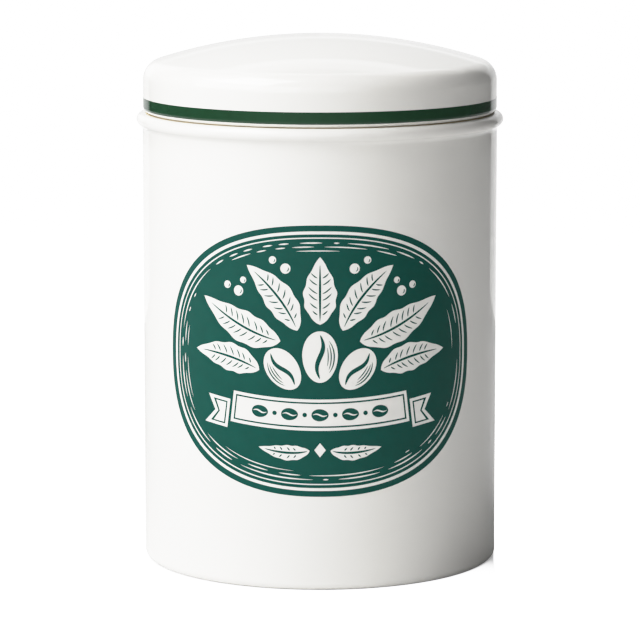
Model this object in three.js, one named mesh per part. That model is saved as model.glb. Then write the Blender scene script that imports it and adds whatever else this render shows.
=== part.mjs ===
// Lidded coffee canister in glazed ceramic: a straight-sided jar with a rolled mouth, a domed lid
// with a plug under it, and a silicone sealing ring that sits in a groove around the plug.
// Units are millimetres and +Z is up. The origin is the centre of the foot, on the surface that the
// jar stands on. The decorated front faces -Y.
import * as THREE from "three";

// Driving dimensions
const bodyRadius = 60;
const wall = 5; // slip-cast wall, in the jar and in the lid
const rimHeight = 152.3; // the flat top of the mouth, which the lid rests on
const seatGap = 0.3; // between the lid's seat and the rim
const ringGap = 0.3; // between the sealing ring and the ceramic on either side of it
const roundSides = 64; // flat sides around every turned piece
const chordError = 0.05; // how far a flat facet may stray from a rounded edge of an outline

const foot = { cornerRadius: 2.5, innerRadius: 50, recessDepth: 1.5, recessSlope: 1.5 };
const floor = { top: 6.5, filletRadius: 6 };
const bead = { maxRadius: 62.05, radius: 2.2, filletRadius: 1.8 };
const mouth = { radius: bodyRadius - wall, edgeRadius: 0.8 };

const lid = {
  radius: 59.8,
  seat: rimHeight + seatGap,
  edgeRadius: 2.4,
  sideTop: 163.35, // the side is upright up to here
  shoulderRadius: 6.9,
  apex: 178.4,
  innerFillet: 3,
};
const plug = { radius: 52.6, bottom: 138.6, edgeRadius: 1.5, rootRadius: 0.8 };
const groove = { radius: 51, bottom: 142.6, top: 149 };
const fin = { count: 3, rootThickness: 1.1, tipThickness: 0.6, rise: 0.7 };

// An arc about (r, z) from one angle to another, in degrees, as points of a turned outline.
function arc(r, z, radius, fromDegrees, toDegrees) {
  const start = THREE.MathUtils.degToRad(fromDegrees);
  const end = THREE.MathUtils.degToRad(toDegrees);
  const widestStep = 2 * Math.acos(1 - chordError / radius);
  const steps = Math.ceil(Math.abs(end - start) / widestStep);
  return new THREE.EllipseCurve(r, z, radius, radius, start, end, end < start).getPoints(steps);
}

function point(r, z) {
  return new THREE.Vector2(r, z);
}

// Turns an outline of (radius, height) points about the Z axis.
function turned(name, outline, material) {
  const geometry = new THREE.LatheGeometry(outline, roundSides);
  geometry.rotateX(Math.PI / 2);
  const mesh = new THREE.Mesh(geometry, material);
  mesh.name = name;
  return mesh;
}

// The jar's outside from the middle of the foot to the rim, then down the inside to the floor's middle.
function canisterOutline() {
  const footEdge = bodyRadius - foot.cornerRadius;
  const beadCentre = { r: bead.maxRadius - bead.radius, z: rimHeight - bead.radius };
  const reach = bead.radius + bead.filletRadius;
  const filletR = bodyRadius + bead.filletRadius;
  const filletZ = beadCentre.z - Math.sqrt(reach ** 2 - (filletR - beadCentre.r) ** 2);
  const joinAngle = THREE.MathUtils.radToDeg(Math.atan2(beadCentre.z - filletZ, beadCentre.r - filletR));
  const floorFilletR = mouth.radius - floor.filletRadius;
  return [
    point(0, foot.recessDepth),
    point(foot.innerRadius - foot.recessSlope, foot.recessDepth),
    point(foot.innerRadius, 0),
    ...arc(footEdge, foot.cornerRadius, foot.cornerRadius, -90, 0),
    ...arc(filletR, filletZ, bead.filletRadius, 180, joinAngle),
    ...arc(beadCentre.r, beadCentre.z, bead.radius, joinAngle - 180, 90).slice(1),
    ...arc(mouth.radius + mouth.edgeRadius, rimHeight - mouth.edgeRadius, mouth.edgeRadius, 90, 180),
    ...arc(floorFilletR, floor.top + floor.filletRadius, floor.filletRadius, 0, -90),
    point(0, floor.top),
  ];
}

// The dome is one large arc that runs into the shoulder's small one. This gives the dome's radius from
// the height that it must reach, so that the two arcs and the upright side are tangent.
function domeRadius() {
  const across = lid.radius - lid.shoulderRadius;
  const rise = lid.apex - lid.sideTop;
  const leg = rise - lid.shoulderRadius;
  return (across ** 2 + leg ** 2) / (2 * leg) + lid.shoulderRadius;
}

// The lid's hollow from the middle of its roof down into the plug, then the plug's outside with its
// groove, and the seat and the outside up to the apex.
function lidOutline() {
  const radius = domeRadius();
  const domeCentre = lid.apex - radius;
  const shoulderR = lid.radius - lid.shoulderRadius;
  const shoulderAngle = THREE.MathUtils.radToDeg(Math.atan2(lid.sideTop - domeCentre, shoulderR));
  const innerRadius = radius - wall;
  const innerCorner = lid.radius - wall - lid.innerFillet;
  const innerCornerZ = domeCentre + Math.sqrt((innerRadius - lid.innerFillet) ** 2 - innerCorner ** 2);
  const innerAngle = THREE.MathUtils.radToDeg(Math.atan2(innerCornerZ - domeCentre, innerCorner));
  const ledge = lid.seat + wall;
  const plugInside = plug.radius - wall;
  const plugEdgeZ = plug.bottom + plug.edgeRadius;
  return [
    ...arc(0, domeCentre, innerRadius, 90, innerAngle),
    ...arc(innerCorner, innerCornerZ, lid.innerFillet, innerAngle, 0).slice(1),
    ...arc(innerCorner, ledge + lid.innerFillet, lid.innerFillet, 0, -90),
    ...arc(plugInside + lid.innerFillet, ledge - lid.innerFillet, lid.innerFillet, 90, 180),
    ...arc(plugInside + plug.edgeRadius, plugEdgeZ, plug.edgeRadius, -180, -90),
    ...arc(plug.radius - plug.edgeRadius, plugEdgeZ, plug.edgeRadius, -90, 0),
    point(plug.radius, groove.bottom),
    point(groove.radius, groove.bottom),
    point(groove.radius, groove.top),
    point(plug.radius, groove.top),
    ...arc(plug.radius + plug.rootRadius, lid.seat - plug.rootRadius, plug.rootRadius, 180, 90),
    ...arc(lid.radius - lid.edgeRadius, lid.seat + lid.edgeRadius, lid.edgeRadius, -90, 0),
    ...arc(shoulderR, lid.sideTop, lid.shoulderRadius, 0, shoulderAngle),
    ...arc(0, domeCentre, radius, shoulderAngle, 90).slice(1),
  ];
}

// A flat band inside the groove, with thin fins that slope upwards and reach almost to the mouth.
function sealingRingOutline() {
  const inner = groove.radius + ringGap;
  const bandOuter = plug.radius + ringGap;
  const bottom = groove.bottom + ringGap;
  const top = groove.top - ringGap;
  const tip = mouth.radius - ringGap;
  const pitch = (top - bottom - fin.rootThickness) / (fin.count - 1);
  const outline = [point(inner, top), point(inner, bottom)];
  for (let i = 0; i < fin.count; i++) {
    const low = bottom + i * pitch;
    const tipLow = low + fin.rise;
    outline.push(
      point(bandOuter, low),
      point(tip - fin.tipThickness / 2, tipLow),
      point(tip, tipLow + fin.tipThickness / 2),
      point(tip - fin.tipThickness / 2, tipLow + fin.tipThickness),
      point(bandOuter, low + fin.rootThickness),
    );
  }
  outline.push(point(inner, top));
  return outline;
}

const glaze = new THREE.MeshStandardMaterial({ color: 0xf3f2ee, roughness: 0.12, metalness: 0 });
const silicone = new THREE.MeshStandardMaterial({ color: 0xdedbd2, roughness: 0.5, metalness: 0 });

const canister = new THREE.Group();
canister.add(
  turned("canister_body", canisterOutline(), glaze),
  turned("lid", lidOutline(), glaze),
  turned("sealing_ring", sealingRingOutline(), silicone),
);

export default canister;
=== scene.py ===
# Glazed coffee canister: a cast ceramic jar, a domed lid with a fired green band, a silicone ring in
# the lid's groove, and a green transfer of a coffee sprig on the front. Lengths are in metres.
import math
import random
import bpy
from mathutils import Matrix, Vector


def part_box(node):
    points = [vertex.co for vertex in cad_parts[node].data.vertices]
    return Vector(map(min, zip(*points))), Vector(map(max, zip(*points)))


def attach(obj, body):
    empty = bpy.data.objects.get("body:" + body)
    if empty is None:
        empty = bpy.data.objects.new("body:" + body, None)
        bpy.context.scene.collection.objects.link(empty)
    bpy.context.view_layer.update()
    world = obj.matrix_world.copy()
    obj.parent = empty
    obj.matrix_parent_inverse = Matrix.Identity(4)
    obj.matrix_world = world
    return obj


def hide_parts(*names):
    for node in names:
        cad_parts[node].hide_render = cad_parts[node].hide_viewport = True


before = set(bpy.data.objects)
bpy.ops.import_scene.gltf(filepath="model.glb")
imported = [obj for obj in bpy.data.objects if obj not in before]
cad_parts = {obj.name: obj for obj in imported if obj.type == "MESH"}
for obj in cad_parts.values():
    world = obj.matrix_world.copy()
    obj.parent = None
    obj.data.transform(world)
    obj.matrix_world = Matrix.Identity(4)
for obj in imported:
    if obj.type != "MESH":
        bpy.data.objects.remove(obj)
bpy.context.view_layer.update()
mm = 0.001
print("frame loaded:", ", ".join(sorted(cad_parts)))


def deselectAll():
    for obj in bpy.context.selected_objects:
        obj.select_set(False)


def pick(obj):
    deselectAll()
    obj.select_set(True)
    bpy.context.view_layer.objects.active = obj


# ---- materials


def linear(hexColour):
    # sRGB hex to the linear colour that a shader socket takes
    parts = [int(hexColour[i : i + 2], 16) / 255 for i in (1, 3, 5)]
    return [c / 12.92 if c <= 0.04045 else ((c + 0.055) / 1.055) ** 2.4 for c in parts] + [1.0]


def addNode(tree, kind, settings=None, inputs=None):
    # inputs by name or number: a value, or the socket of another node to link
    node = tree.nodes.new(kind)
    for key, value in (settings or {}).items():
        setattr(node, key, value)
    for key, value in (inputs or {}).items():
        if isinstance(value, bpy.types.NodeSocket):
            tree.links.new(value, node.inputs[key])
        else:
            node.inputs[key].default_value = value
    return node


def newMaterial(name, sockets):
    # a material with one shader, and the values that are the same all over the surface set on it
    material = bpy.data.materials.new(name)
    material.use_nodes = True
    tree = material.node_tree
    shader = tree.nodes["Principled BSDF"]
    for key, value in sockets.items():
        shader.inputs[key].default_value = value
    return material, tree, shader


undulation = {"wave": 25 * mm, "peel": 2 * mm, "peelShare": 0.02, "depth": 0.12 * mm, "strength": 0.25}


def glazeUndulation(tree):
    # fired glaze is never quite flat: it has slow waves, and a faint orange peel on them
    place = addNode(tree, "ShaderNodeTexCoord").outputs["Object"]
    wave = addNode(tree, "ShaderNodeTexNoise",
                   inputs={"Vector": place, "Scale": 1 / undulation["wave"], "Detail": 1.0})
    peel = addNode(tree, "ShaderNodeTexNoise",
                   inputs={"Vector": place, "Scale": 1 / undulation["peel"], "Detail": 2.0})
    both = addNode(tree, "ShaderNodeMath", {"operation": "MULTIPLY_ADD"},
                   {0: peel.outputs["Fac"], 1: undulation["peelShare"], 2: wave.outputs["Fac"]})
    bump = addNode(tree, "ShaderNodeBump", inputs={
        "Strength": undulation["strength"], "Distance": undulation["depth"], "Height": both.outputs[0],
    })
    return bump.outputs["Normal"]


whiteGlaze = {"colour": "#F3F2EE", "thin": "#F0EEE9", "cloud": 40 * mm, "roughness": 0.045, "ior": 1.5}
bareClay = {"colour": "#DDCFB0", "roughness": 0.85, "ragged": 6 * mm, "stray": 0.25 * mm}


def zoneMask(tree, zones):
    # 1 inside any of the (lowest radius, highest radius, lowest z, highest z) rings round the axis;
    # their edges wander a little, as glaze wiped off with a sponge does
    place = addNode(tree, "ShaderNodeTexCoord").outputs["Object"]
    wobble = addNode(tree, "ShaderNodeTexNoise",
                     inputs={"Vector": place, "Scale": 1 / bareClay["ragged"], "Detail": 3.0})
    shift = addNode(tree, "ShaderNodeMath", {"operation": "MULTIPLY_ADD"},
                    {0: wobble.outputs["Fac"], 1: 2 * bareClay["stray"], 2: -bareClay["stray"]})
    parts = addNode(tree, "ShaderNodeSeparateXYZ", inputs={0: place})
    flat = addNode(tree, "ShaderNodeCombineXYZ", inputs={"X": parts.outputs["X"], "Y": parts.outputs["Y"]})
    radius = addNode(tree, "ShaderNodeVectorMath", {"operation": "LENGTH"}, {0: flat.outputs[0]})
    ragged = addNode(tree, "ShaderNodeMath", {"operation": "ADD"},
                     {0: radius.outputs["Value"], 1: shift.outputs[0]})
    total = 0.0
    for low, high, bottom, top in zones:
        inRadius = addNode(tree, "ShaderNodeMath", {"operation": "COMPARE"},
                           {0: ragged.outputs[0], 1: (low + high) / 2, 2: (high - low) / 2})
        inHeight = addNode(tree, "ShaderNodeMath", {"operation": "COMPARE"},
                           {0: parts.outputs["Z"], 1: (bottom + top) / 2, 2: (top - bottom) / 2})
        inside = addNode(tree, "ShaderNodeMath", {"operation": "MULTIPLY"},
                         {0: inRadius.outputs[0], 1: inHeight.outputs[0]})
        either = addNode(tree, "ShaderNodeMath", {"operation": "MAXIMUM"}, {0: inside.outputs[0], 1: total})
        total = either.outputs[0]
    return total


def makeWhiteGlaze(name, bareZones):
    # glazed earthenware: an opaque white glaze fired to a hard gloss gives clean reflections over a soft
    # white; where it was wiped off before firing, the cream clay shows, dry and matt
    material, tree, shader = newMaterial(name, {"IOR": whiteGlaze["ior"]})
    place = addNode(tree, "ShaderNodeTexCoord").outputs["Object"]
    cloud = addNode(tree, "ShaderNodeTexNoise", inputs={
        "Vector": place, "Scale": 1 / whiteGlaze["cloud"], "Detail": 2.0, "Roughness": 0.4,
    })
    body = addNode(tree, "ShaderNodeMix", {"data_type": "RGBA"},
                   {0: cloud.outputs["Fac"], 6: linear(whiteGlaze["colour"]), 7: linear(whiteGlaze["thin"])})
    bare = zoneMask(tree, bareZones)
    colour = addNode(tree, "ShaderNodeMix", {"data_type": "RGBA"},
                     {0: bare, 6: body.outputs[2], 7: linear(bareClay["colour"])})
    rough = addNode(tree, "ShaderNodeMix", {"data_type": "FLOAT"},
                    {0: bare, 2: whiteGlaze["roughness"], 3: bareClay["roughness"]})
    tree.links.new(colour.outputs[2], shader.inputs["Base Color"])
    tree.links.new(rough.outputs[0], shader.inputs["Roughness"])
    tree.links.new(glazeUndulation(tree), shader.inputs["Normal"])
    return material


bandEnamel = {"light": "#22452F", "dark": "#1D3C27", "mottle": 5 * mm, "roughness": 0.06, "gloss": 0.5}
printEnamel = {"light": "#0D5047", "dark": "#09483F", "mottle": 5 * mm, "roughness": 0.10, "gloss": 0.16}


def makeGreenEnamel(name, enamel):
    # ceramic enamel, brushed or printed on the glaze and fired in: glossy, and a little uneven in depth.
    # The printed one has less gloss, because it is mostly colour with little flux.
    material, tree, shader = newMaterial(name, {
        "IOR": 1.5, "Roughness": enamel["roughness"], "Specular IOR Level": enamel["gloss"],
    })
    place = addNode(tree, "ShaderNodeTexCoord").outputs["Object"]
    mottle = addNode(tree, "ShaderNodeTexNoise",
                     inputs={"Vector": place, "Scale": 1 / enamel["mottle"], "Detail": 4.0})
    colour = addNode(tree, "ShaderNodeMix", {"data_type": "RGBA"},
                     {0: mottle.outputs["Fac"], 6: linear(enamel["dark"]), 7: linear(enamel["light"])})
    tree.links.new(colour.outputs[2], shader.inputs["Base Color"])
    tree.links.new(glazeUndulation(tree), shader.inputs["Normal"])
    return material


silicone = {"colour": "#E4E1D8", "grain": 0.6 * mm, "grainDepth": 0.03 * mm, "roughness": (0.38, 0.56)}


def makeSilicone():
    # moulded silicone rubber: milky, soft to the light, with the satin of a blasted mould
    material, tree, shader = newMaterial("moulded silicone", {
        "Base Color": linear(silicone["colour"]), "IOR": 1.41, "Subsurface Weight": 0.35,
        "Subsurface Radius": (1.0, 0.9, 0.8), "Subsurface Scale": 1.5 * mm,
    })
    place = addNode(tree, "ShaderNodeTexCoord").outputs["Object"]
    grain = addNode(tree, "ShaderNodeTexNoise",
                    inputs={"Vector": place, "Scale": 1 / silicone["grain"], "Detail": 2.0})
    smooth, coarse = silicone["roughness"]
    rough = addNode(tree, "ShaderNodeMapRange", inputs={0: grain.outputs["Fac"], 3: smooth, 4: coarse})
    bump = addNode(tree, "ShaderNodeBump", inputs={
        "Strength": 0.3, "Distance": silicone["grainDepth"], "Height": grain.outputs["Fac"],
    })
    tree.links.new(rough.outputs[0], shader.inputs["Roughness"])
    tree.links.new(bump.outputs["Normal"], shader.inputs["Normal"])
    return material


# ---- turned pieces


def arcPoints(centre, radius, fromDegrees, toDegrees, steps):
    # an arc of an outline, as (distance from the axis, height)
    angles = [math.radians(fromDegrees + (toDegrees - fromDegrees) * i / steps) for i in range(steps + 1)]
    return [(centre[0] + radius * math.cos(a), centre[1] + radius * math.sin(a)) for a in angles]


def linePoints(start, end, step):
    # points between two ends, none of them included, about a step apart
    count = max(1, round(math.dist(start, end) / step))
    return [(start[0] + (end[0] - start[0]) * i / count, start[1] + (end[1] - start[1]) * i / count)
            for i in range(1, count)]


def addModifier(piece, kind, **settings):
    pick(piece)
    modifier = piece.modifiers.new(kind.lower(), kind)
    for key, value in settings.items():
        setattr(modifier, key, value)
    bpy.ops.object.modifier_apply(modifier=modifier.name)


def turnedPiece(name, outline, turns=192):
    # one vertex, extruded along the outline and spun round the upright axis
    deselectAll()
    bpy.ops.mesh.primitive_plane_add(size=mm)
    piece = bpy.context.object
    piece.name = piece.data.name = name
    bpy.ops.object.mode_set(mode="EDIT")
    bpy.ops.mesh.select_all(action="SELECT")
    bpy.ops.mesh.merge(type="CENTER")
    here = (outline[0][0], 0, outline[0][1])
    bpy.ops.transform.translate(value=here)
    for r, z in outline[1:]:
        step = (r - here[0], 0, z - here[2])
        bpy.ops.mesh.extrude_region_move(TRANSFORM_OT_translate={"value": step})
        here = (r, 0, z)
    bpy.ops.mesh.select_all(action="SELECT")
    bpy.ops.mesh.spin(steps=turns, angle=math.tau, center=(0, 0, 0), axis=(0, 0, 1))
    bpy.ops.mesh.select_all(action="SELECT")
    bpy.ops.mesh.remove_doubles(threshold=0.002 * mm)
    bpy.ops.mesh.normals_make_consistent(inside=False)
    bpy.ops.object.mode_set(mode="OBJECT")
    bpy.ops.object.shade_smooth_by_angle(angle=math.radians(35))
    addModifier(piece, "WEIGHTED_NORMAL", keep_sharp=True)
    print(name, "turned,", len(piece.data.polygons), "faces")
    return piece


jarLow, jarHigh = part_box("canister_body")
lidLow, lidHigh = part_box("lid")
ringLow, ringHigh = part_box("sealing_ring")

jar = {
    "rim": jarHigh.z,
    "beadReach": jarHigh.x,
    "radius": 60 * mm,
    "wall": 5 * mm,
    "foot": {"corner": 2.5 * mm, "inner": 50 * mm, "recess": 1.5 * mm, "round": 0.7 * mm},
    "floor": {"top": 6.5 * mm, "fillet": 6 * mm},
    "bead": {"radius": 2.2 * mm, "fillet": 1.8 * mm},
    "mouthEdge": 0.8 * mm,
}
jar["mouth"] = jar["radius"] - jar["wall"]


def jarOutline():
    foot, bead = jar["foot"], jar["bead"]
    footEdge = jar["radius"] - foot["corner"]
    beadCentre = (jar["beadReach"] - bead["radius"], jar["rim"] - bead["radius"])
    filletR = jar["radius"] + bead["fillet"]
    reach = bead["radius"] + bead["fillet"]
    filletZ = beadCentre[1] - math.sqrt(reach ** 2 - (filletR - beadCentre[0]) ** 2)
    join = math.degrees(math.atan2(beadCentre[1] - filletZ, beadCentre[0] - filletR))
    floorEdge = jar["mouth"] - jar["floor"]["fillet"]
    floorCentre = (floorEdge, jar["floor"]["top"] + jar["floor"]["fillet"])
    outside = arcPoints((footEdge, foot["corner"]), foot["corner"], -90, 0, 10)
    neck = arcPoints((filletR, filletZ), bead["fillet"], 180, join, 8)
    lip = arcPoints(beadCentre, bead["radius"], join - 180, 90, 20)[1:]
    mouthCentre = (jar["mouth"] + jar["mouthEdge"], jar["rim"] - jar["mouthEdge"])
    mouth = arcPoints(mouthCentre, jar["mouthEdge"], 90, 180, 6)
    inside = arcPoints(floorCentre, jar["floor"]["fillet"], 0, -90, 10)
    recess = (foot["inner"] - foot["recess"], foot["recess"])
    return [
        (0, foot["recess"]),
        *linePoints((0, foot["recess"]), recess, 8 * mm),
        recess,
        *arcPoints((foot["inner"] + foot["round"], foot["round"]), foot["round"], -150, -90, 4),
        *linePoints((foot["inner"] + foot["round"], 0), outside[0], 2 * mm),
        *outside,
        *linePoints(outside[-1], neck[0], 6 * mm),
        *neck,
        *lip,
        *linePoints(lip[-1], mouth[0], 1 * mm),
        *mouth,
        *linePoints(mouth[-1], inside[0], 8 * mm),
        *inside,
        *linePoints(inside[-1], (0, jar["floor"]["top"]), 8 * mm),
        (0, jar["floor"]["top"]),
    ]


lid = {
    "radius": lidHigh.x,
    "apex": lidHigh.z,
    "seat": jar["rim"] + 0.06 * mm,
    "edge": 2.0 * mm,
    "sideTop": 163.35 * mm,
    "shoulder": 6.9 * mm,
    "wall": 5 * mm,
    "innerFillet": 3 * mm,
    "plug": {"radius": 52.6 * mm, "bottom": lidLow.z, "edge": 1.5 * mm, "root": 0.8 * mm},
    "groove": {"radius": 51 * mm, "bottom": ringLow.z - 0.3 * mm, "top": ringHigh.z + 0.3 * mm},
}


def lidSide():
    # the outside from the seat up to the apex
    across = lid["radius"] - lid["shoulder"]
    leg = lid["apex"] - lid["sideTop"] - lid["shoulder"]
    radius = (across ** 2 + leg ** 2) / (2 * leg) + lid["shoulder"]
    domeCentre = lid["apex"] - radius
    turn = math.degrees(math.atan2(lid["sideTop"] - domeCentre, across))
    edge = arcPoints((lid["radius"] - lid["edge"], lid["seat"] + lid["edge"]), lid["edge"], -90, 0, 12)
    shoulder = arcPoints((across, lid["sideTop"]), lid["shoulder"], 0, turn, 16)
    dome = arcPoints((0, domeCentre), radius, turn, 90, 24)[1:]
    return [*edge, *linePoints(edge[-1], shoulder[0], 1.5 * mm), *shoulder, *dome], radius, domeCentre


def lidOutline():
    side, radius, domeCentre = lidSide()
    plug, groove = lid["plug"], lid["groove"]
    innerRadius = radius - lid["wall"]
    innerCorner = lid["radius"] - lid["wall"] - lid["innerFillet"]
    innerCornerZ = domeCentre + math.sqrt((innerRadius - lid["innerFillet"]) ** 2 - innerCorner ** 2)
    turn = math.degrees(math.atan2(innerCornerZ - domeCentre, innerCorner))
    ledge = lid["seat"] + lid["wall"]
    plugInside = plug["radius"] - lid["wall"]
    fillet = lid["innerFillet"]
    plugEdgeZ = plug["bottom"] + plug["edge"]
    rootZ = lid["seat"] - plug["root"]
    inner = arcPoints((plugInside + fillet, ledge - fillet), fillet, 90, 180, 6)
    bottom = arcPoints((plugInside + plug["edge"], plugEdgeZ), plug["edge"], -180, -90, 6)
    outer = arcPoints((plug["radius"] - plug["edge"], plugEdgeZ), plug["edge"], -90, 0, 6)
    root = arcPoints((plug["radius"] + plug["root"], rootZ), plug["root"], 180, 90, 5)
    return [
        *arcPoints((0, domeCentre), innerRadius, 90, turn, 14),
        *arcPoints((innerCorner, innerCornerZ), fillet, turn, 0, 6)[1:],
        *arcPoints((innerCorner, ledge + fillet), fillet, 0, -90, 6),
        *inner,
        *linePoints(inner[-1], bottom[0], 4 * mm),
        *bottom,
        *outer,
        (plug["radius"], groove["bottom"]),
        (groove["radius"], groove["bottom"]),
        (groove["radius"], groove["top"]),
        (plug["radius"], groove["top"]),
        *root,
        *linePoints(root[-1], side[0], 1 * mm),
        *side,
    ]


band = {"bottom": 153.63 * mm, "top": 157.6 * mm, "proud": 0.04 * mm, "sunk": 0.06 * mm}


def bandOutline():
    # follows the lid's side between two heights, a little proud of the glaze and a little sunk in it
    centre = (lid["radius"] - lid["edge"], lid["seat"] + lid["edge"])
    start = math.degrees(math.asin((band["bottom"] - centre[1]) / lid["edge"]))
    outer = arcPoints(centre, lid["edge"] + band["proud"], start, 0, 10)
    outer += linePoints(outer[-1], (outer[-1][0], band["top"]), 0.8 * mm)
    outer.append((lid["radius"] + band["proud"], band["top"]))
    inner = arcPoints(centre, lid["edge"] - band["sunk"], start, 0, 10)
    inner.append((lid["radius"] - band["sunk"], band["top"]))
    return [*outer, *reversed(inner), outer[0]]


ring = {
    "inner": 51.3 * mm,
    "band": 52.9 * mm,
    "tip": ringHigh.x,
    "bottom": ringLow.z,
    "top": ringHigh.z,
    "fins": 3,
    "root": 1.1 * mm,
    "point": 0.6 * mm,
    "rise": 0.7 * mm,
}


def ringOutline():
    pitch = (ring["top"] - ring["bottom"] - ring["root"]) / (ring["fins"] - 1)
    tipCentre = ring["tip"] - ring["point"] / 2
    outline = [(ring["inner"], ring["top"]), (ring["inner"], ring["bottom"])]
    for i in range(ring["fins"]):
        low = ring["bottom"] + i * pitch
        outline.append((ring["band"], low))
        tip = (tipCentre, low + ring["rise"] + ring["point"] / 2)
        outline += arcPoints(tip, ring["point"] / 2, -90, 90, 6)
        outline.append((ring["band"], low + ring["root"]))
    outline.append(outline[0])
    return outline


# rings of bare clay, as zoneMask takes them: the foot ring, the top of the rim, and the lid's seat
clayOnJar = [
    (jar["foot"]["inner"] - 0.6 * mm, jar["radius"] - 1.9 * mm, -1 * mm, 0.12 * mm),
    (jar["mouth"] + 1.4 * mm, jar["radius"] - 1.0 * mm, jar["rim"] - 0.05 * mm, jar["rim"] + 1 * mm),
]
clayOnLid = [
    (lid["plug"]["radius"] + 1.2 * mm, lid["radius"] - 1.2 * mm,
     lid["seat"] - 0.1 * mm, lid["seat"] + 0.3 * mm),
]

jarPiece = turnedPiece("glazed_jar", jarOutline())
jarPiece.data.materials.append(makeWhiteGlaze("white earthenware glaze on the jar", clayOnJar))
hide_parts("canister_body")
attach(jarPiece, "canister")

lidPiece = turnedPiece("glazed_lid", lidOutline())
lidPiece.data.materials.append(makeWhiteGlaze("white earthenware glaze on the lid", clayOnLid))
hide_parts("lid")
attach(lidPiece, "lid")

bandPiece = turnedPiece("green_band", bandOutline())
bandPiece.data.materials.append(makeGreenEnamel("banding enamel, forest green", bandEnamel))
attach(bandPiece, "lid")

ringPiece = turnedPiece("silicone_ring", ringOutline())
ringPiece.data.materials.append(makeSilicone())
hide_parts("sealing_ring")
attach(ringPiece, "seal")


# ---- the green transfer, drawn flat in millimetres: x along the jar's girth, y up from its middle

sprig = {
    "middle": 76.3 * mm,
    "halfWidth": 57.0,
    "halfHeight": 44.7,
    "squareness": 2.35,  # 2 is an ellipse
    "thickness": 0.05 * mm,
    "sunk": 0.02 * mm,
    "strip": 1.5,  # widest flat facet once it is wrapped
    "lines": [(1.9, 2.9), (3.9, 4.3)],  # plain lines round the edge, as distances in from it
    "strokes": [5.7, 7.0, 8.3],  # rows of engraved strokes inside them
    "strokeWidth": 0.5,
    "strokeStep": 0.5,
    "strokeLengths": (5, 8, 16, 30, 52),  # these and the gaps are in steps of the row's path
    "strokeGaps": (3, 6),  # shortest and longest
    "firstGap": 20,
    "lastGap": 12,
    "taper": 0.6,  # smaller keeps a stroke fuller towards its points
    "rowThins": (0.3, 0.07),  # each row further in has this much fewer and narrower strokes
    "seed": 5,
}


def oval(inset, degrees):
    # a point of the oval that lies a distance inside the edge
    a = sprig["halfWidth"] - inset
    b = sprig["halfHeight"] - inset
    c, s = math.cos(math.radians(degrees)), math.sin(math.radians(degrees))
    power = 2 / sprig["squareness"]
    return (a * math.copysign(abs(c) ** power, c), b * math.copysign(abs(s) ** power, s))


def ovalLoop(inset, step=1.0):
    # points round the oval, evenly spaced about a step apart
    fine = [oval(inset, 360 * i / 1440) for i in range(1441)]
    lengths = [math.dist(a, b) for a, b in zip(fine, fine[1:])]
    count = round(sum(lengths) / step)
    step = sum(lengths) / count
    points, walked = [], 0.0
    for a, b, length in zip(fine, fine[1:], lengths):
        while len(points) < count and len(points) * step <= walked + length:
            share = (len(points) * step - walked) / length
            points.append((a[0] + share * (b[0] - a[0]), a[1] + share * (b[1] - a[1])))
        walked += length
    return points


def ellipseLoop(centre, halfWidth, halfHeight, count):
    angles = [math.tau * k / count for k in range(count)]
    return [(centre[0] + halfWidth * math.cos(a), centre[1] + halfHeight * math.sin(a)) for a in angles]


def widened(path, halves):
    # a closed outline round a path, with its half width given at each point
    sides = [[], []]
    for i, (p, half) in enumerate(zip(path, halves)):
        before, after = path[max(0, i - 1)], path[min(len(path) - 1, i + 1)]
        length = math.dist(before, after)
        normal = ((before[1] - after[1]) / length, (after[0] - before[0]) / length)
        for side, sign in zip(sides, (1, -1)):
            side.append((p[0] + sign * half * normal[0], p[1] + sign * half * normal[1]))
    return sides[0] + sides[1][-2:0:-1]


def taperedLoop(path, width):
    # full in the middle and pointed at both ends
    last = len(path) - 1
    halves = [width / 2 * math.sin(math.pi * i / last) ** sprig["taper"] for i in range(last)]
    return widened(path, halves + [0])


def mirrored(loop, sign):
    # the loop itself for 1, and the other side's for -1
    return [(sign * x, y) for x, y in loop]


def bezier(start, middle, end, count):
    # a curve that leaves start towards middle and reaches end from it
    points = []
    for i in range(count + 1):
        t = i / count
        points.append(tuple((1 - t) ** 2 * s + 2 * t * (1 - t) * m + t ** 2 * e
                            for s, m, e in zip(start, middle, end)))
    return points


def edgeLoops():
    loops = [ovalLoop(0)]
    for outer, inner in sprig["lines"]:
        loops += [ovalLoop(outer), ovalLoop(inner)]
    chance = random.Random(sprig["seed"])
    fewer, narrower = sprig["rowThins"]
    for row, inset in enumerate(sprig["strokes"]):
        path = ovalLoop(inset, sprig["strokeStep"])
        width = sprig["strokeWidth"] - narrower * row
        start = chance.randrange(sprig["firstGap"])
        while start < len(path) - sprig["lastGap"]:
            length = min(chance.choice(sprig["strokeLengths"]), len(path) - sprig["strokeGaps"][0] - start)
            if chance.random() < 1 - fewer * row:
                loops.append(taperedLoop(path[start : start + length], width))
            start += length + chance.randint(*sprig["strokeGaps"])
    return loops


leaf = {
    "steps": 40,  # along the midrib
    "lean": 0.85,  # below 1 the fullest place comes before the middle
    "fullness": 0.85,  # below 1 the leaf is fuller towards its ends
    "waves": 4.5,
    "waveDepth": 0.05,  # as a share of the half width
    "midrib": 0.75,
    "vein": 0.42,
    "veinsFrom": 0.15,  # where along the midrib the side veins start, and over how much of it
    "veinsOver": 0.56,
    "veinReach": 0.7,  # as a share of the half width there
    "shortestVein": 1.3,
}


def leafSwell(t):
    # how full the leaf is along its midrib, from 0 at its base to 0 at its tip
    return math.sin(math.pi * t ** leaf["lean"]) ** leaf["fullness"] if 0 < t < 1 else 0


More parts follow.
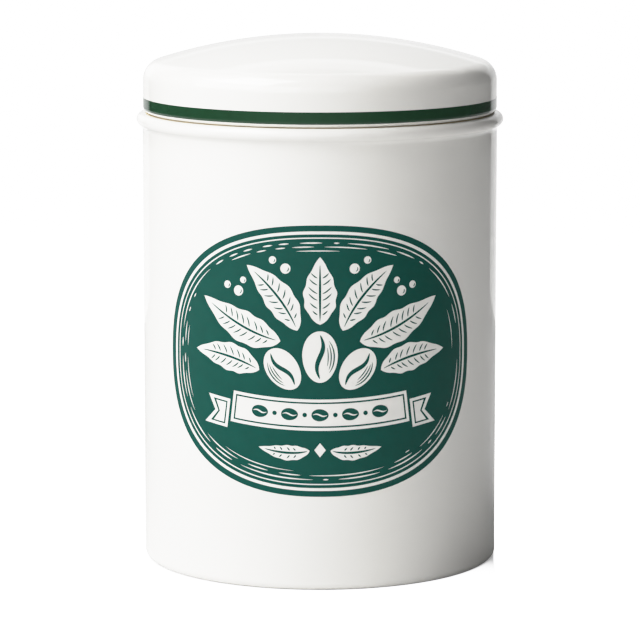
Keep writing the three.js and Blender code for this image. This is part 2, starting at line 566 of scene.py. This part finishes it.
def leafLoops(base, bend, tip, halfWidth, veins):
    # a white leaf with wavy edges, and a green midrib and side veins inside it
    steps = leaf["steps"]
    rib = bezier(base, bend, tip, steps)
    halves = []
    for i in range(steps + 1):
        wave = 1 + leaf["waveDepth"] * math.sin(math.tau * leaf["waves"] * i / steps)
        halves.append(halfWidth * leafSwell(i / steps) * wave)
    loops = [widened(rib, halves), taperedLoop(rib[2:-4], leaf["midrib"])]
    for k in range(veins):
        t = leaf["veinsFrom"] + leaf["veinsOver"] * k / (veins - 1)
        i = round(steps * t)
        along = (rib[i + 1][0] - rib[i][0], rib[i + 1][1] - rib[i][1])
        size = math.hypot(*along)
        along = (along[0] / size, along[1] / size)
        across = (-along[1], along[0])
        reach = leaf["veinReach"] * halfWidth * leafSwell(t)
        if reach <= leaf["shortestVein"]:
            continue
        for sign in (1, -1):
            # each vein starts just off the midrib, and sweeps forward to end short of the leaf's edge
            places = [(0.75, 0.3), (0.62 * reach, 0.22 * reach), (reach + 0.1, 0.7 * reach)]
            start, turn, end = [tuple(rib[i][n] + sign * out * across[n] + on * along[n] for n in (0, 1))
                                for out, on in places]
            loops.append(taperedLoop(bezier(start, turn, end, 8), leaf["vein"]))
    return loops


def placed(points, centre, degrees, flip=1):
    # turned and moved to its centre; a flip of -1 mirrors it first
    c, s = math.cos(math.radians(degrees)), math.sin(math.radians(degrees))
    return [(centre[0] + flip * x * c - y * s, centre[1] + flip * x * s + y * c) for x, y in points]


# shares of the bean's own length and width, but a line of hatching spreads by degrees either side of the
# bean's middle, and its width is in millimetres
bean = {
    "fuller": 0.06,
    "crease": {"length": 0.86, "bend": 0.09, "width": 0.13},
    "hatch": {"length": 0.80, "reach": 0.80, "spread": 52, "width": 0.42},
    "nextHatch": {"reach": 0.17, "spread": 12, "width": 0.05},  # each next line has this much less
}


def beanLoops(centre, length, width, degrees, hatches=3, flip=1):
    # a white bean, a little fuller at one end, with a green S-shaped crease and hatching down one side
    plain = ellipseLoop((0, 0), width / 2, length / 2, 60)
    outline = [(x * (1 + bean["fuller"] * y / (length / 2)), y) for x, y in plain]
    bend, tall = bean["crease"]["bend"] * width, bean["crease"]["length"] * length
    crease = [(bend * math.sin(math.tau * i / 30), tall * (0.5 - i / 30)) for i in range(31)]
    parts = [outline, taperedLoop(crease, bean["crease"]["width"] * width)]
    hatch, less = bean["hatch"], bean["nextHatch"]
    up = hatch["length"] * length / 2
    for k in range(hatches):
        out = (hatch["reach"] - less["reach"] * k) * width / 2
        spread = hatch["spread"] - less["spread"] * k
        angles = [math.radians(spread * (i / 8 - 1)) for i in range(17)]
        line = [(out * math.cos(a), up * math.sin(a)) for a in angles]
        parts.append(taperedLoop(line, hatch["width"] - less["width"] * k))
    return [placed(p, centre, degrees, flip) for p in parts]


ribbon = {
    "middle": -17.6,
    "sag": 0.0021,
    "halfLength": 30.0,
    "halfHeight": 5.2,
    "tailEnd": 39.6,
    "tailDrop": -2.7,
    "tailGap": 0.9,
    "tailSlimmer": 0.4,
    "notch": 3.4,
    "insets": (0, 1.0, 1.5),  # of the white edge, and of the line inside it
    # the same for the tails: from their sides, their notch and their end
    "tailInsets": [(0, 0, 0), (1.0, 1.2, 2.2), (1.45, 1.8, 3.3)],
    "beans": {"pitch": 10.0, "length": 5.6, "width": 4.0},
    "dot": 0.75,
}


def ribbonPoint(x, offset):
    # a place on the sagging ribbon, offset square to it
    slope = 2 * ribbon["sag"] * x
    size = math.hypot(1, slope)
    return (x - offset * slope / size, ribbon["middle"] + ribbon["sag"] * x * x + offset / size)


def stripLoop(x0, x1, low, high):
    count = max(2, round(abs(x1 - x0) / sprig["strip"]))
    xs = [x0 + (x1 - x0) * i / count for i in range(count + 1)]
    return [ribbonPoint(x, low) for x in xs] + [ribbonPoint(x, high) for x in reversed(xs)]


def tailLoop(inset, notchInset, endInset):
    # a swallow tail beyond the ribbon's end, and the lines inside it
    drop, tail = ribbon["tailDrop"], ribbon["halfHeight"] - ribbon["tailSlimmer"] - inset
    start, end = ribbon["halfLength"] + ribbon["tailGap"] + inset, ribbon["tailEnd"] - endInset
    notch = ribbon["tailEnd"] - ribbon["notch"] - notchInset
    corners = [(start, -tail), (end, -tail), (notch, 0), (end, tail), (start, tail)]
    return [ribbonPoint(x, drop + y) for x, y in corners]


def ribbonLoops():
    half, high, beans = ribbon["halfLength"], ribbon["halfHeight"], ribbon["beans"]
    loops = [stripLoop(-half + i, half - i, -high + i, high - i) for i in ribbon["insets"]]
    for i in range(-2, 3):
        x = i * beans["pitch"]
        turn = 90 + math.degrees(2 * ribbon["sag"] * x)
        loops += beanLoops(ribbonPoint(x, 0), beans["length"], beans["width"], turn, 0)
    for i in (-1.5, -0.5, 0.5, 1.5):
        loops.append(ellipseLoop(ribbonPoint(i * beans["pitch"], 0), ribbon["dot"], ribbon["dot"], 16))
    tails = [tailLoop(*insets) for insets in ribbon["tailInsets"]]
    for sign in (1, -1):
        loops += [mirrored(loop, sign) for loop in tails]
    return loops


# the shine runs along part of a circle: its radius is a share of the berry's, its ends are in degrees,
# and its width is in millimetres
berryShine = {"radius": 0.6, "from": -70, "to": 30, "step": 10, "width": 0.32}


def berryLoops(centre, radius):
    # a white berry with a green shine line
    out = berryShine["radius"] * radius
    bearings = range(berryShine["from"], berryShine["to"] + 1, berryShine["step"])
    angles = [math.radians(degrees) for degrees in bearings]
    shine = [(centre[0] + out * math.cos(a), centre[1] + out * math.sin(a)) for a in angles]
    return [ellipseLoop(centre, radius, radius, 28), taperedLoop(shine, berryShine["width"])]


# the right half of the spray, which is mirrored to the left: each leaf's base, bend, tip, half width
# and number of veins, and each berry's place and radius
middleLeaf = ((0, 12.2), (0.01, 22), (0, 34.4), 5.4, 6)
sideLeaves = [
    ((7.4, 10.2), (12.0, 22.0), (24.5, 31.2), 4.9, 7),
    ((13.0, 6.6), (26.0, 9.0), (41.0, 20.0), 5.2, 8),
    ((20.2, -3.2), (30.0, 1.8), (44.5, 2.2), 4.6, 7),
    ((3.4, -29.4), (10.0, -31.4), (20.5, -28.6), 2.5, 5),
]
sideBerries = [
    (11.3, 30.5, 1.7), (15.6, 33.2, 1.25), (27.5, 22.6, 1.7), (31.6, 24.4, 1.25), (25.8, 26.2, 1.1),
]
middleBean = {"centre": (0, 1.6), "length": 17.0, "width": 11.6}
sideBean = {"centre": (12.3, -2.6), "length": 15.2, "width": 10.6, "lean": 38}
diamond = {"centre": (0, -29.2), "halfWidth": 1.9, "halfHeight": 2.4}


def sprigLoops():
    loops = edgeLoops() + ribbonLoops()
    loops += leafLoops(*middleLeaf)
    loops += beanLoops(middleBean["centre"], middleBean["length"], middleBean["width"], 0)
    for sign in (1, -1):
        for details in sideLeaves:
            loops += [mirrored(loop, sign) for loop in leafLoops(*details)]
        x, y = sideBean["centre"]
        lean = -sign * sideBean["lean"]
        loops += beanLoops((sign * x, y), sideBean["length"], sideBean["width"], lean, flip=sign)
        for x, y, radius in sideBerries:
            loops += berryLoops((sign * x, y), radius)
    loops.append(ellipseLoop(diamond["centre"], diamond["halfWidth"], diamond["halfHeight"], 4))
    return loops


def makeTransfer():
    # one flat curve: a loop inside another is a hole in it, and a loop inside that is printed again
    drawing = bpy.data.curves.new("front_transfer", "CURVE")
    drawing.dimensions = "2D"
    drawing.fill_mode = "BOTH"
    for loop in sprigLoops():
        spline = drawing.splines.new("POLY")
        spline.points.add(len(loop) - 1)
        for point, (x, y) in zip(spline.points, loop):
            point.co = (x, y, 0, 1)
        spline.use_cyclic_u = True
    piece = bpy.data.objects.new("front_transfer", drawing)
    bpy.context.scene.collection.objects.link(piece)
    pick(piece)
    bpy.ops.object.convert(target="MESH")
    piece = bpy.context.object
    bpy.ops.object.mode_set(mode="EDIT")
    bpy.ops.mesh.select_all(action="SELECT")
    bpy.ops.mesh.remove_doubles(threshold=0.001)
    reach = int(sprig["halfWidth"] / sprig["strip"])  # cut into upright strips, so that it bends smoothly
    for i in range(-reach, reach + 1):
        bpy.ops.mesh.select_all(action="SELECT")
        bpy.ops.mesh.bisect(plane_co=(i * sprig["strip"], 0, 0), plane_no=(1, 0, 0))
    bpy.ops.object.mode_set(mode="OBJECT")
    piece.scale = (mm, mm, mm)
    piece.rotation_euler = (math.radians(90), 0, 0)
    bpy.ops.object.transform_apply(location=True, rotation=True, scale=True)
    surface = jar["radius"] - sprig["sunk"]
    piece.location = (0, 0, sprig["middle"])
    bpy.ops.object.transform_apply(location=True, rotation=True, scale=True)
    width = piece.dimensions.x
    addModifier(piece, "SIMPLE_DEFORM", deform_method="BEND", deform_axis="Z", angle=width / surface)
    piece.location = (0, -surface, 0)
    pick(piece)
    bpy.ops.object.transform_apply(location=True, rotation=True, scale=True)
    addModifier(piece, "SOLIDIFY", thickness=sprig["sunk"] + sprig["thickness"], offset=1)
    pick(piece)
    bpy.ops.object.shade_smooth_by_angle(angle=math.radians(30))
    radii = [math.hypot(v.co.x, v.co.y) / mm for v in piece.data.vertices]
    print("front_transfer wrapped,", len(piece.data.polygons), "faces,",
          f"{min(radii):.3f} to {max(radii):.3f} mm from the axis")
    return piece


transferPiece = makeTransfer()
transferPiece.data.materials.append(makeGreenEnamel("screen-printed ceramic enamel, deep green", printEnamel))
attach(transferPiece, "canister")

# ---- camera, floor and light

camera = {"distance": 1.22, "height": 0.270, "aim": 0.0808, "lens": 203.5, "nearest": 0.05, "farthest": 50}
cameraData = bpy.data.cameras.new("camera")
cameraData.lens = camera["lens"]
cameraData.clip_start = camera["nearest"]
cameraData.clip_end = camera["farthest"]
cameraPiece = bpy.data.objects.new("camera", cameraData)
bpy.context.scene.collection.objects.link(cameraPiece)
cameraPiece.location = (0, -camera["distance"], camera["height"])
aim = Vector((0, 0, camera["aim"])) - cameraPiece.location
cameraPiece.rotation_euler = aim.to_track_quat("-Z", "Y").to_euler()
bpy.context.scene.camera = cameraPiece

# how bright tones come out: straight up to the knee, then a soft shoulder that reaches white
film = {"knee": 0.65, "white": 2.4, "steps": 8}

# the paper that the jar stands on, as the camera sees it: a painted glow keeps it white right up to a thin
# painted line of shadow at the foot, from dark to white by distance from the axis, and a small soft painted
# pool of shadow at its right front
paper = {
    "radius": 1.1,
    "clear": 0.3,  # it fades from here out, to meet the white room with no horizon
    "colour": "#FAFAFA",
    "glow": 2.4,
    "contact": {"dark": 57.2 * mm, "white": 60.2 * mm},
    "pool": {"centre": (61 * mm, -6 * mm, 0), "dark": 2 * mm, "white": 36 * mm, "depth": 0.12,
             "edge": 59.3 * mm, "lean": 0.05, "soft": 1.4 * mm},
}
# the same paper as the jar sees it: it takes the jar's true shadows, and has a painted pool of shade at the
# jar's right front
bounce = {
    "radius": 1.35,
    "colour": "#E7E7E7",
    "pool": {"centre": (70 * mm, -36 * mm, 0), "dark": 8 * mm, "white": 50 * mm, "depth": 0.55},
}


def floorDisc(name, radius, seenByCamera):
    deselectAll()
    bpy.ops.mesh.primitive_circle_add(vertices=128, radius=radius, fill_type="NGON")
    disc = bpy.context.object
    disc.name = name
    disc.visible_camera = seenByCamera
    disc.visible_diffuse = disc.visible_glossy = not seenByCamera
    disc.visible_shadow = False
    return disc


def smoothRise(tree, value, low, high, start=0.0):
    # the start value up to low, 1 from high on
    rise = addNode(tree, "ShaderNodeMapRange", {"interpolation_type": "SMOOTHSTEP"},
                   {0: value, 1: low, 2: high, 3: start})
    return rise.outputs[0]


def makePaper():
    # pale seamless paper, dead matt; it glows with painted light so that it comes out white, except where the
    # glow falls away to leave a painted shadow at the foot and a painted pool of shadow at its right front
    material, tree, shader = newMaterial("seamless paper", {
        "Base Color": linear(paper["colour"]), "Roughness": 1.0, "Specular IOR Level": 0.0,
        "Emission Color": (1, 1, 1, 1),
    })
    place = addNode(tree, "ShaderNodeTexCoord").outputs["Object"]
    reach = addNode(tree, "ShaderNodeVectorMath", {"operation": "LENGTH"}, {0: place}).outputs["Value"]
    contact, pool = paper["contact"], paper["pool"]
    # painted shadow: the glow falls to nothing in a thin ring round the foot
    clearOfPaintedFootShadow = smoothRise(tree, reach, contact["dark"], contact["white"])
    # painted pool of shadow at the right front, cut off along a straight edge at the jar's right side
    fromPool = addNode(tree, "ShaderNodeVectorMath", {"operation": "DISTANCE"}, {0: place, 1: pool["centre"]})
    clearOfPaintedShadowPool = smoothRise(tree, fromPool.outputs["Value"], pool["dark"], pool["white"], pool["depth"])
    across = addNode(tree, "ShaderNodeVectorMath", {"operation": "DOT_PRODUCT"},
                     {0: place, 1: (1, -pool["lean"], 0)})
    pastEdge = smoothRise(tree, across.outputs["Value"], pool["edge"], pool["edge"] + pool["soft"])
    clear = addNode(tree, "ShaderNodeMath", {"operation": "MAXIMUM"}, {0: clearOfPaintedShadowPool, 1: pastEdge})
    both = addNode(tree, "ShaderNodeMath", {"operation": "MULTIPLY"}, {0: clear.outputs[0], 1: clearOfPaintedFootShadow})
    lift = addNode(tree, "ShaderNodeMath", {"operation": "MULTIPLY"}, {0: both.outputs[0], 1: paper["glow"]})
    fade = addNode(tree, "ShaderNodeMapRange", {"interpolation_type": "SMOOTHSTEP"},
                   {0: reach, 1: paper["clear"], 2: paper["radius"], 3: 1.0, 4: 0.0})
    tree.links.new(lift.outputs[0], shader.inputs["Emission Strength"])
    tree.links.new(fade.outputs[0], shader.inputs["Alpha"])
    floorDisc("floor", paper["radius"], True).data.materials.append(material)


def makeBounce():
    # seamless paper again, dead matt, with painted shade: greyer in a pool at the jar's right front, so the
    # jar's lower right gets less light from it
    material, tree, shader = newMaterial("seamless paper, reflected", {
        "Roughness": 1.0, "Specular IOR Level": 0.0,
    })
    place = addNode(tree, "ShaderNodeTexCoord").outputs["Object"]
    # painted shade: near the pool's centre the paper's colour drops to a share of itself
    pool = bounce["pool"]
    fromPool = addNode(tree, "ShaderNodeVectorMath", {"operation": "DISTANCE"}, {0: place, 1: pool["centre"]})
    clear = smoothRise(tree, fromPool.outputs["Value"], pool["dark"], pool["white"])
    lit = linear(bounce["colour"])
    shaded = [c * pool["depth"] for c in lit[:3]] + [1.0]
    tone = addNode(tree, "ShaderNodeMix", {"data_type": "RGBA"}, {0: clear, 6: shaded, 7: lit})
    tree.links.new(tone.outputs[2], shader.inputs["Base Color"])
    floorDisc("floor_bounce", bounce["radius"], False).data.materials.append(material)


makePaper()
makeBounce()

# soft boxes: bearing from the front, positive to the right, and rise above the jar's middle, in degrees;
# width and height; and the brightness of the face, where 1 is as bright as lit white paper
softBoxes = {
    "key": (-60, 55, (0.9, 0.9), 5.4),
    "left wall": (-67, 33, (1.3, 1.2), 3.1),
    "left top": (-90, 55, (0.9, 0.9), 1.6),
    "front left": (-30, 20, (0.9, 0.9), 2.4),
    "front": (0, 20, (0.9, 0.9), 1.2),
    "back right": (150, 50, (0.9, 0.9), 0.8),
    "back": (180, 50, (0.9, 0.9), 0.65),
    "back left": (-150, 55, (0.9, 0.9), 0.9),
    "back left low": (-150, 20, (0.9, 0.9), 0.55),
    "back low": (180, 25, (1.6, 0.7), 0.3),
}
softBoxDistance = 1.6
lightsAim = Vector((0, 0, 0.1))
# a card behind the jar that is only seen mirrored in the glaze
backCard = {"place": (0, 0.5, 0.3), "aim": (0, 0, 0.3), "size": (0.8, 0.6), "glow": 0.65}


def addSoftBox(name, place, aimAt, size, glow):
    light = bpy.data.lights.new(name, "AREA")
    light.shape = "RECTANGLE"
    light.size, light.size_y = size
    light.energy = glow * math.pi * size[0] * size[1]
    lamp = bpy.data.objects.new(name, light)
    bpy.context.scene.collection.objects.link(lamp)
    lamp.location = place
    lamp.rotation_euler = (Vector(aimAt) - lamp.location).to_track_quat("-Z", "Y").to_euler()
    lamp.visible_camera = False
    return lamp


for name, (bearing, rise, size, glow) in softBoxes.items():
    around, above = math.radians(bearing), math.radians(rise)
    level = math.cos(above)
    direction = Vector((math.sin(around) * level, -math.cos(around) * level, math.sin(above)))
    addSoftBox(name, lightsAim + softBoxDistance * direction, lightsAim, size, glow)
card = addSoftBox("back card", backCard["place"], backCard["aim"], backCard["size"], backCard["glow"])
card.visible_diffuse = False
print("studio lit by", len(softBoxes), "soft boxes and a card")

# the room beyond the paper, as the glaze mirrors it: brightness by bearing, times brightness by rise
studio = {
    "bearings": [(-180, 0.3), (-150, 0.3), (-149, 0.04), (-75, 0.04), (-15, 0.34), (45, 0.08), (149, 0.08),
                 (150, 0.4), (180, 0.4)],
    "rises": [(-90, 1.0), (12, 1.0), (13, 0.0), (90, 0.0)],
}


def rampOf(tree, value, low, high, stops):
    # brightness along a ramp whose stops are given in degrees
    place = addNode(tree, "ShaderNodeMapRange",
                    inputs={0: value, 1: math.radians(low), 2: math.radians(high)})
    ramp = addNode(tree, "ShaderNodeValToRGB", inputs={0: place.outputs[0]})
    elements = ramp.color_ramp.elements
    elements.remove(elements[1])
    for i, (degrees, glow) in enumerate(stops):
        at = (degrees - low) / (high - low)
        element = elements[0] if i == 0 else elements.new(at)
        element.position = at
        element.color = (glow, glow, glow, 1)
    return ramp.outputs["Color"]


def makeStudio():
    world = bpy.data.worlds.new("studio")
    bpy.context.scene.world = world
    world.use_nodes = True
    tree = world.node_tree
    direction = addNode(tree, "ShaderNodeTexCoord").outputs["Generated"]
    parts = addNode(tree, "ShaderNodeSeparateXYZ", inputs={0: direction})
    front = addNode(tree, "ShaderNodeMath", {"operation": "MULTIPLY"}, {0: parts.outputs["Y"], 1: -1.0})
    bearing = addNode(tree, "ShaderNodeMath", {"operation": "ARCTAN2"},
                      {0: parts.outputs["X"], 1: front.outputs[0]})
    rise = addNode(tree, "ShaderNodeMath", {"operation": "ARCSINE"}, {0: parts.outputs["Z"]})
    around = rampOf(tree, bearing.outputs[0], -180, 180, studio["bearings"])
    above = rampOf(tree, rise.outputs[0], -90, 90, studio["rises"])
    glow = addNode(tree, "ShaderNodeMix", {"data_type": "RGBA", "blend_type": "MULTIPLY"},
                   {0: 1.0, 6: around, 7: above})
    room = tree.nodes["Background"]
    tree.links.new(glow.outputs[2], room.inputs["Color"])
    white = addNode(tree, "ShaderNodeBackground", inputs={"Color": (1, 1, 1, 1), "Strength": film["white"]})
    seen = addNode(tree, "ShaderNodeLightPath").outputs["Is Camera Ray"]
    both = addNode(tree, "ShaderNodeMixShader", inputs={0: seen, 1: room.outputs[0], 2: white.outputs[0]})
    tree.links.new(both.outputs[0], tree.nodes["World Output"].inputs["Surface"])


makeStudio()


def exposeFilm():
    # the film's shoulder, drawn on the view's curve as points that crowd together towards the knee
    view = bpy.context.scene.view_settings
    view.view_transform = "Standard"
    view.use_curve_mapping = True
    mapping = view.curve_mapping
    mapping.white_level = [film["white"]] * 3
    tone = mapping.curves[3]
    tone.points[1].location = (1, 1)
    tone.points.new(film["knee"] / film["white"], film["knee"])
    room = 1 - film["knee"]
    for i in range(1, film["steps"]):
        light = film["knee"] + (film["white"] - film["knee"]) * (i / film["steps"]) ** 2
        tone.points.new(light / film["white"], 1 - room * math.exp((film["knee"] - light) / room))
    for point in tone.points[:2]:
        point.handle_type = "VECTOR"
    mapping.update()


exposeFilm()
